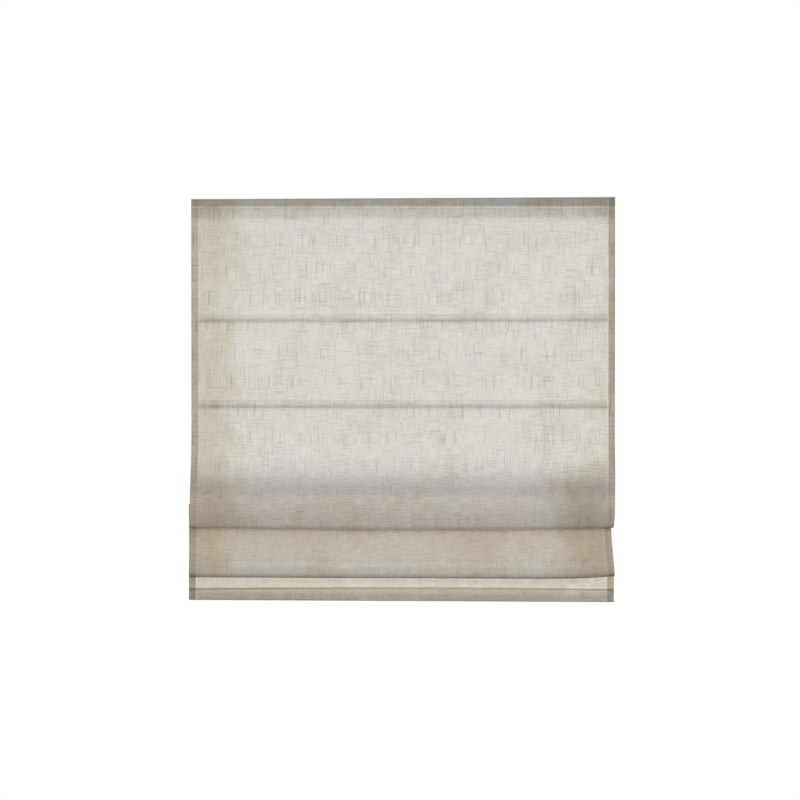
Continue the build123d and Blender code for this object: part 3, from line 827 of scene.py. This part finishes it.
def ripple_share():
    """The ripple dies out where the cloth is held: at the header, the seam, the gathers and the hem."""
    share = np.ones(len(cloth_line))
    for row in (0, bend_row["header_front"], seam_row, gather_row, bend_row["gather_6_back"], last_row):
        share = np.minimum(share, np.abs(cloth_length - cloth_length[row]) / RIPPLE_FADE)
    return share


def cloth_place(hang, x, behind):
    """Where a point of the hung cloth is: x across it and behind its front layer, on a row that hangs so."""
    y, z, back_y, back_z, left, right, ripple, lift_1, lift_2, down = hang
    share = x / WIDTH + 0.5
    drift = left * (1 - share) + right * share
    wave = noise.noise(Vector((x * RIPPLE_ACROSS, down * RIPPLE_DOWN, RIPPLE_PLANE)))
    forward = RIPPLE * (0.5 + 0.5 * wave) * ripple - behind
    end = 2 * x / WIDTH
    rise = lift_1 * CREASE_LIFT["left" if x < 0 else "right"] * end**CREASE_LIFT_POWER
    rise += lift_2 * CREASE_2_LIFT * max(0, end) ** CREASE_2_LIFT_POWER
    return x + drift, y - back_y * forward, z - back_z * forward + rise


def cloth_piece(name, first, last):
    """The rows of the sheet from first to last, as a mesh."""
    columns = cloth_columns()
    places = np.empty((last + 1 - first, len(columns), 3))
    uvs = np.empty((last + 1 - first, len(columns), 2))
    for row in range(first, last + 1):
        for c, (x, behind, flat) in enumerate(columns):
            places[row - first, c] = cloth_place(hanging[row], x, behind)
            uvs[row - first, c] = (flat, cloth_down[row])
    return grid_piece(name, places, uvs, linen_cloth)


# How each row of the cloth hangs, in the order in which cloth_place takes it
drift_rows = [cloth_down[named_row[name]] for name in EDGE_DRIFT]
left_drift = np.interp(cloth_down, drift_rows, [left for left, _ in EDGE_DRIFT.values()])
right_drift = np.interp(cloth_down, drift_rows, [right for _, right in EDGE_DRIFT.values()])
creased_1 = crease_share(bend_row["bulge"], crease_row, seam_row)
creased_2 = crease_share(bend_row["gather_4_back"], bend_row["crease_2_front"], bend_row["gather_6_front"])
hanging = np.column_stack(
    (cloth_line, cloth_back, left_drift, right_drift, ripple_share(), creased_1, creased_2, cloth_down)
)
cloth_front = cloth_piece("cloth_front", 0, seam_row)
cloth_fold_back = cloth_piece("cloth_fold_back", seam_row, gather_row)
cloth_lower = cloth_piece("cloth_lower", gather_row, last_row)


# Rod pockets: a narrow tape sewn to the back of the cloth, with a tunnel round each rod
def pocket(number, face, gathered):
    """A tape whose back layer goes round the rod. face is the way the back of the cloth faces there."""
    rod = centre(f"rod_{number}")
    middle = np.array((rod.y, rod.z))
    up = np.array((-face[1], face[0]))
    lift = POCKET_THICKNESS + TUNNEL_INNER - TAPE
    above, below = (GATHER_POCKET_HALF, GATHER_POCKET_HALF) if gathered else (POCKET_ABOVE, POCKET_BELOW)

    def local(out, along):
        return middle + face * (out - lift) + up * along

    section = [local(TAPE / 2, above)]
    section += straight(section[-1], local(TAPE / 2, -below), TAPE_STEP)
    for k in range(TUNNEL_STEPS + 1):
        angle = TUNNEL_TURN * (2 * k / TUNNEL_STEPS - 1)
        section.append(middle + TUNNEL_RADIUS * (face * math.cos(angle) + up * math.sin(angle)))
    section += straight(section[-1], local(TAPE, TUNNEL_RADIUS + TAPE_STEP), TAPE_STEP)
    section = np.array(section)
    reach = np.concatenate(([0.0], np.cumsum(np.linalg.norm(np.diff(section, axis=0), axis=1))))
    low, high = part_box(f"rod_pocket_{number}")
    xs = np.linspace(low[0], high[0], POCKET_COLUMNS)
    places = np.empty((len(section), len(xs), 3))
    uvs = np.empty((len(section), len(xs), 2))
    for r, (y, z) in enumerate(section):
        for c, x in enumerate(xs):
            places[r, c] = (x, y, z)
            uvs[r, c] = (x, reach[r])
    piece = grid_piece(f"pocket_tape_{number}", places, uvs, linen_tape)
    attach(piece, "root" if number in STILL_RODS else "stack")
    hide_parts(f"rod_pocket_{number}")
    return piece


# The way the back of the cloth faces at each rod
slope_1 = unit(cloth_route["brow_1"][0] - cloth_route["bulge"][0])
slope_2 = unit(cloth_route["brow_2"][0] - cloth_route["gather_4_back"][0])
rod_faces = {
    1: np.array((1.0, 0.0)),
    2: np.array((1.0, 0.0)),
    3: np.array((-slope_1[1], slope_1[0])),
    4: np.array((0.0, 1.0)),
    5: np.array((-slope_2[1], slope_2[0])),
    6: np.array((0.0, 1.0)),
}
pockets = {number: pocket(number, face, number in GATHER_RODS) for number, face in rod_faces.items()}


# Stitching along the header, the side hems, the rod pockets and the bottom hem
def nearest_down(point):
    """How far down the sheet a point (y, z) near its line is."""
    spans = np.diff(cloth_line, axis=0)
    shares = np.clip(np.sum((point - cloth_line[:-1]) * spans, axis=1) / steps**2, 0, 1)
    gaps = np.linalg.norm(cloth_line[:-1] + spans * shares[:, None] - point, axis=1)
    row = int(np.argmin(gaps))
    return cloth_down[row] + shares[row] * steps[row]


def seam(start, end, behind=0.0, facing=-1):
    """The rings of thread along a seam from start to end, each (down, across). facing is 1 at the back."""
    start, end = np.array(start), np.array(end)
    length = np.linalg.norm(end - start)
    level = abs(end[1] - start[1]) > abs(end[0] - start[0])
    angles = 2 * math.pi * np.arange(THREAD_SIDES)[:, None] / THREAD_SIDES
    rings = []
    for k in range(int(length / STITCH_PITCH)):
        for share, lift, size in STITCH_SHAPE:
            down, across = start + (end - start) * (k + share) * STITCH_PITCH / length
            hang = [np.interp(down, cloth_down, values) for values in hanging.T]
            middle = np.array(cloth_place(hang, across, behind + facing * lift))
            back_y, back_z = hang[2:4]
            out = np.array((0, back_y, back_z))
            side = np.array((0, -back_z, back_y)) if level else np.array((1, 0, 0))
            rings.append(middle + size * THREAD_RADIUS * (out * np.cos(angles) + side * np.sin(angles)))
    return rings


def stitching(name, seams):
    """All the stitches of some seams as one piece of thread."""
    rings = np.array([ring for rings in seams for ring in rings])
    faces = []
    for k in range(len(rings)):
        first = k * THREAD_SIDES
        around = [(first + side, first + (side + 1) % THREAD_SIDES) for side in range(THREAD_SIDES)]
        last_of_stitch = k % len(STITCH_SHAPE) == len(STITCH_SHAPE) - 1
        if last_of_stitch or k % len(STITCH_SHAPE) == 0:
            faces.append([here for here, _ in around])
        if not last_of_stitch:
            faces += [(here, there, there + THREAD_SIDES, here + THREAD_SIDES) for here, there in around]
    piece = mesh_piece(name, rings.reshape(-1, 3).tolist(), faces, sewing_thread)
    piece.data.shade_smooth()
    return piece


def side_seams(start, end):
    """Both side hems' seams from one place down the sheet to another, in front and behind."""
    across = WIDTH / 2 - SIDE_HEM + HEM_STITCH_INSET
    sides = [((start, sign * across), (end, sign * across)) for sign in (-1, 1)]
    return [seam(*side) for side in sides] + [seam(*side, LAYER, 1) for side in sides]


def level_seam(down, slope=0.0):
    """A seam across the cloth between its side hems."""
    reach = WIDTH / 2 - SIDE_HEM
    return seam((down - slope * reach, -reach), (down + slope * reach, reach))


def pocket_seam(number):
    """The seam of a rod pocket's tape, near its upper edge."""
    rod = centre(f"rod_{number}")
    face = rod_faces[number]
    up = np.array((-face[1], face[0]))
    return level_seam(nearest_down(np.array((rod.y, rod.z)) + up * (POCKET_ABOVE - POCKET_STITCH_DROP)))


header_seam_down = HEADER_BAND + HEADER_STITCH_DROP
bottom_seam_down = hem_seam_down + BOTTOM_STITCH_DROP
stitches_front = stitching("stitches_front", [
    level_seam(header_seam_down, HEADER_SLOPE),
    *(pocket_seam(number) for number in STILL_RODS),
    *side_seams(header_seam_down, cloth_down[seam_row]),
])
fold_back_seams = side_seams(cloth_down[seam_row], cloth_down[gather_row])
stitches_fold_back = stitching("stitches_fold_back", fold_back_seams)
stitches_lower = stitching("stitches_lower", [
    *(pocket_seam(number) for number in STACK_RODS if number not in GATHER_RODS),
    level_seam(bottom_seam_down),
    level_seam(cloth_down[last_row] - BOTTOM_STITCH_DROP),
    *side_seams(cloth_down[gather_row], bottom_seam_down),
])

for piece in (cloth_front, stitches_front):
    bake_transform(piece)
for piece in (cloth_fold_back, stitches_fold_back):
    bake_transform(piece)
for piece in (cloth_lower, stitches_lower):
    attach(piece, "stack")

cloth_pieces = {
    cloth_front: (0, seam_row, [*(pockets[number] for number in STILL_RODS), stitches_front]),
    cloth_fold_back: (seam_row, gather_row, [stitches_fold_back]),
    cloth_lower: (gather_row, last_row, [*(pockets[number] for number in STACK_RODS), stitches_lower]),
}
for piece, (first, last, sewn) in cloth_pieces.items():
    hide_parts("fabric")


# Lift cords: a braid from each spool to the stop below its rings
def lift_cord(station):
    low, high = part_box(f"lift_cord_{station}")
    x, y = (low[0] + high[0]) / 2, (low[1] + high[1]) / 2
    radius = (high[0] - low[0]) / 2
    rows = math.ceil((high[2] - low[2]) / CORD_STEP)
    places = np.empty((rows + 1, CORD_SIDES + 1, 3))
    uvs = np.empty((rows + 1, CORD_SIDES + 1, 2))
    for r in range(rows + 1):
        z = high[2] + (low[2] - high[2]) * r / rows
        for c in range(CORD_SIDES + 1):
            angle = 2 * math.pi * c / CORD_SIDES
            lobe = 1 - CORD_LOBE_DEPTH * (1 + math.cos(CORD_LOBES * (angle + 2 * math.pi * z / CORD_TWIST)))
            places[r, c] = (x + radius * lobe * math.cos(angle), y + radius * lobe * math.sin(angle), z)
            uvs[r, c] = (c / CORD_SIDES, z)
    piece = grid_piece(f"cord_{station}", places, uvs, cord_braid)
    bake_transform(piece)
    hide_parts(f"lift_cord_{station}")


for station in ("left", "centre", "right"):
    lift_cord(station)


# Stage, light and camera
def white_world():
    """White to look at. The light that it gives is stronger from behind the blind and from above."""
    look = Shader(bpy.data.worlds.new("studio"))
    way = look.add("TexCoord").outputs["Generated"]
    slope = look.add("VectorMath", {0: way, 1: SKY_SLOPE}, operation="DOT_PRODUCT").outputs["Value"]
    light = look.add("Background", {"Color": WHITE, "Strength": look.math("ADD", slope, SKY_LEVEL)})
    white = look.add("Background", {"Color": WHITE, "Strength": 1.0})
    mixed = look.add("MixShader", {0: look.seen(), 1: light.outputs[0], 2: white.outputs[0]})
    scene.world = look.finish(mixed.outputs[0], "OutputWorld")


def pale_floor():
    """A pale floor that looks white, with a share of its own shading kept for the shadow."""
    half = FLOOR_SIZE / 2
    z = CLOTH_TOP - FLOOR_DROP
    look = new_look("floor")
    seen = look.seen()
    plain = look.add("BsdfDiffuse", {"Color": look.mixed((FLOOR_BOUNCE,) * 3, (FLOOR_PALE,) * 3, seen)})
    white = look.add("Emission", {"Color": WHITE, "Strength": 1.0})
    share = look.math("MULTIPLY", seen, FLOOR_WHITE)
    mixed = look.add("MixShader", {0: share, 1: plain.outputs[0], 2: white.outputs[0]})
    places = [(x, y, z) for x, y in ((-half, -half), (half, -half), (half, half), (-half, half))]
    floor = mesh_piece("floor", places, [(0, 1, 2, 3)], look.finish(mixed.outputs[0]))


def key_light():
    """A large soft lamp in front of the blind."""
    data = bpy.data.lights.new("key", "AREA")
    data.shape = "RECTANGLE"
    data.size, data.size_y = KEY_SIZE
    data.energy = KEY_POWER
    lamp = bpy.data.objects.new("key", data)
    lamp.location = KEY_PLACE
    target = Vector((0, CLOTH_Y, CAMERA_Z))
    lamp.rotation_euler = (target - lamp.location).to_track_quat("-Z", "Y").to_euler()
    lamp.visible_camera = False
    scene.collection.objects.link(lamp)


white_world()
pale_floor()
key_light()

camera_data = bpy.data.cameras.new("camera")
camera_data.sensor_width = SENSOR_WIDTH
camera_data.lens = SENSOR_WIDTH * CAMERA_DISTANCE / FRAME_WIDTH
camera = bpy.data.objects.new("camera", camera_data)
aim = Vector((CAMERA_X, CLOTH_Y, CAMERA_Z))
away = Vector((math.sin(CAMERA_AZIMUTH), -math.cos(CAMERA_AZIMUTH), 0))
camera.location = aim + away * CAMERA_DISTANCE
camera.rotation_euler = (math.pi / 2, 0, CAMERA_AZIMUTH)
scene.collection.objects.link(camera)
scene.camera = camera
